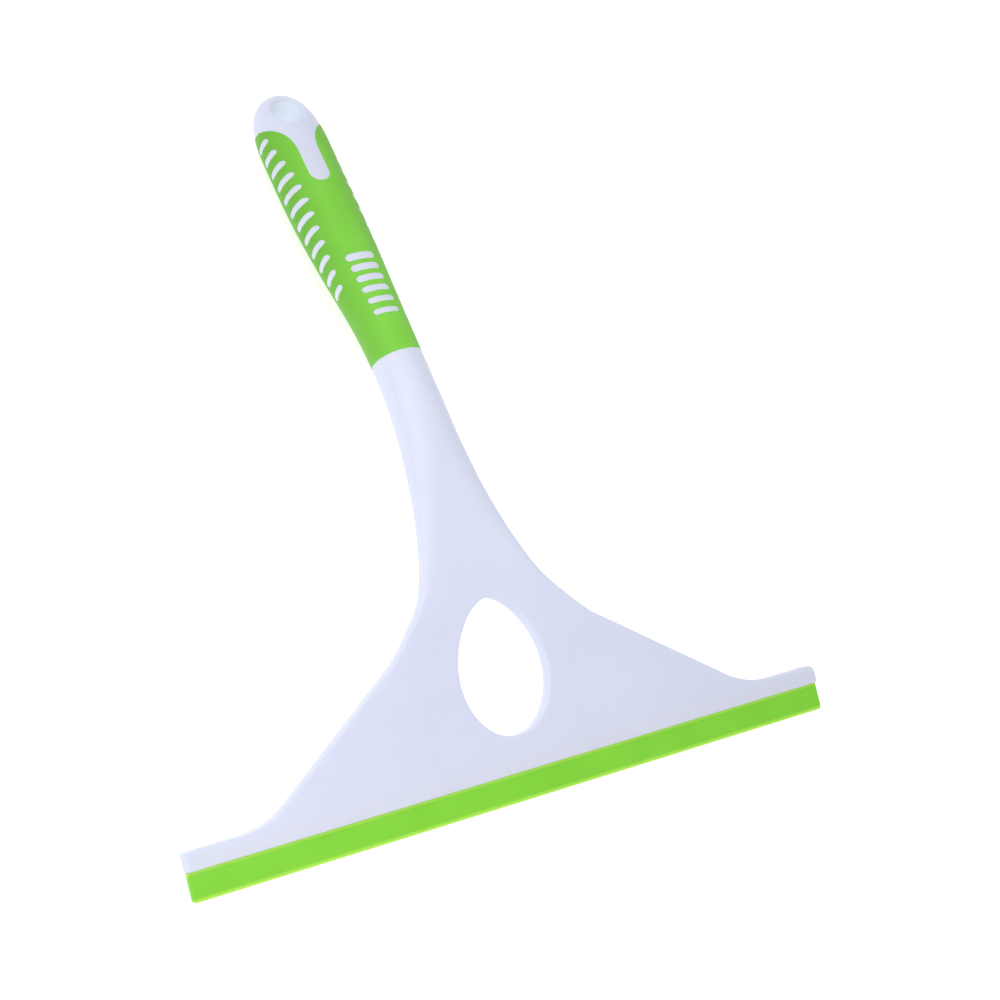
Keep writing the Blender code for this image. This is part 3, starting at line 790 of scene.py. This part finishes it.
def green_rubber():
    """Extruded rubber: bright, smooth, with faint lines along its length, and painted highlights along its
    wiping edge and under the bar.
    """
    material, tree, shader = nodes_of("green_blade_rubber")
    coords = object_coords(tree)
    lines = noise(tree, coords, 1200.0, 3.0, 0.6, (0.02, 1.0, 1.0))
    cloud = noise(tree, coords, 35.0, 2.0)
    tone = clouded(tree, cloud, (0.214, 0.655, 0.026), (0.238, 0.705, 0.036))
    spread = add(tree, "ShaderNodeSeparateXYZ")
    tree.links.new(coords, spread.inputs["Vector"])
    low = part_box("blade")[0].y
    # Painted highlight: the wiping edge and the strip's top under the bar are painted a lighter yellow-green.
    foot = ranged(tree, spread.outputs["Y"], low, low + 0.0016, 1.0, 0.0)
    head = ranged(tree, spread.outputs["Y"], low + 0.0090, low + 0.0102, 0.0, 1.0)
    edges = add(tree, "ShaderNodeMath", operation="MAXIMUM")
    tree.links.new(foot, edges.inputs[0])
    tree.links.new(head, edges.inputs[1])
    edge = ranged(tree, edges.outputs["Value"], 0.0, 1.0, 0.0, 0.90)
    tone = mixed(tree, edge, tone, (0.580, 0.950, 0.120))
    tree.links.new(tone, shader.inputs["Base Color"])
    tree.links.new(ranged(tree, lines, 0.3, 0.7, 0.38, 0.52), shader.inputs["Roughness"])
    normal = bump(tree, lines, 0.00004, 0.5)
    tree.links.new(normal, shader.inputs["Normal"])
    shader.inputs["Subsurface Weight"].default_value = 0.15
    shader.inputs["Subsurface Radius"].default_value = (0.0010, 0.0020, 0.0005)
    return material


def floor_material():
    material, tree, shader = nodes_of("pale_floor")
    coords = object_coords(tree)
    cloud = noise(tree, coords, 3.0, 2.0)
    tone = clouded(tree, cloud, (0.700, 0.700, 0.700), (0.715, 0.715, 0.715))
    tree.links.new(tone, shader.inputs["Base Color"])
    shader.inputs["Emission Color"].default_value = (1.0, 1.0, 1.0, 1.0)
    shader.inputs["Emission Strength"].default_value = FLOOR_GLOW
    shader.inputs["Roughness"].default_value = 0.9
    shader.inputs["Specular IOR Level"].default_value = 0.1
    return material


# Stage


def make_floor():
    shape = bmesh.new()
    bmesh.ops.create_grid(shape, x_segments=1, y_segments=1, size=4.0)
    mesh = bpy.data.meshes.new("floor")
    shape.to_mesh(mesh)
    shape.free()
    floor = new_object("floor", mesh)
    floor.location.z = cad_low.z - 0.0002
    mesh.materials.append(floor_material())


def area_light(name, place, target, size, power, colour):
    light = bpy.data.lights.new(name, "AREA")
    light.shape = "ELLIPSE"
    light.size, light.size_y = size
    light.energy = power
    light.color = colour
    obj = bpy.data.objects.new(name, light)
    bpy.context.scene.collection.objects.link(obj)
    obj.location = place
    obj.rotation_euler = (Vector(target) - Vector(place)).to_track_quat("-Z", "Y").to_euler()


def make_lights():
    world = bpy.data.worlds.new("studio")
    world.use_nodes = True
    tree = world.node_tree
    background = tree.nodes["Background"]
    background.inputs["Color"].default_value = (0.98, 0.985, 1.0, 1.0)
    split = add(tree, "ShaderNodeSeparateXYZ")
    tree.links.new(add(tree, "ShaderNodeTexCoord").outputs["Generated"], split.inputs["Vector"])
    strength = ranged(tree, split.outputs["Z"], 0.0, 1.0, 0.38, 0.62)
    tree.links.new(strength, background.inputs["Strength"])
    bpy.context.scene.world = world
    area_light("key", (-0.28, -0.06, 0.48), (-0.04, 0.0, 0.0), (1.1, 0.4), 1.70, (1.0, 1.0, 1.0))
    area_light("overhead", (0.05, 0.25, 1.45), (0.0, 0.05, 0.0), (1.5, 1.5), 4.6, (1.0, 1.0, 1.0))
    bpy.context.scene.view_settings.view_transform = "Standard"
    bpy.context.scene.view_settings.look = "None"


def make_camera():
    camera = bpy.data.cameras.new("camera")
    camera.sensor_width = SENSOR_WIDTH
    camera.lens = FOCAL_LENGTH
    obj = bpy.data.objects.new("camera", camera)
    bpy.context.scene.collection.objects.link(obj)
    turn = Euler(CAMERA_TURN).to_matrix().to_4x4()
    obj.matrix_world = head_place @ Matrix.Translation(CAMERA_PLACE) @ turn
    bpy.context.scene.camera = obj


def finish_piece(piece, material, body, node):
    piece.data.transform(head_place)
    piece.data.materials.clear()
    piece.data.materials.append(material)
    piece.data.shade_smooth()
    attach(piece, body)
    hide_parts(node)


body, grip, strip = make_body(), make_grip(), make_strip()
finish_piece(body, white_plastic(), "handle", "handle_body")
finish_piece(grip, green_grip(), "handle", "grip_sleeve")
finish_piece(strip, green_rubber(), "blade_strip", "blade")
strip.data.set_sharp_from_angle(angle=math.radians(35))
make_floor()
make_lights()
make_camera()
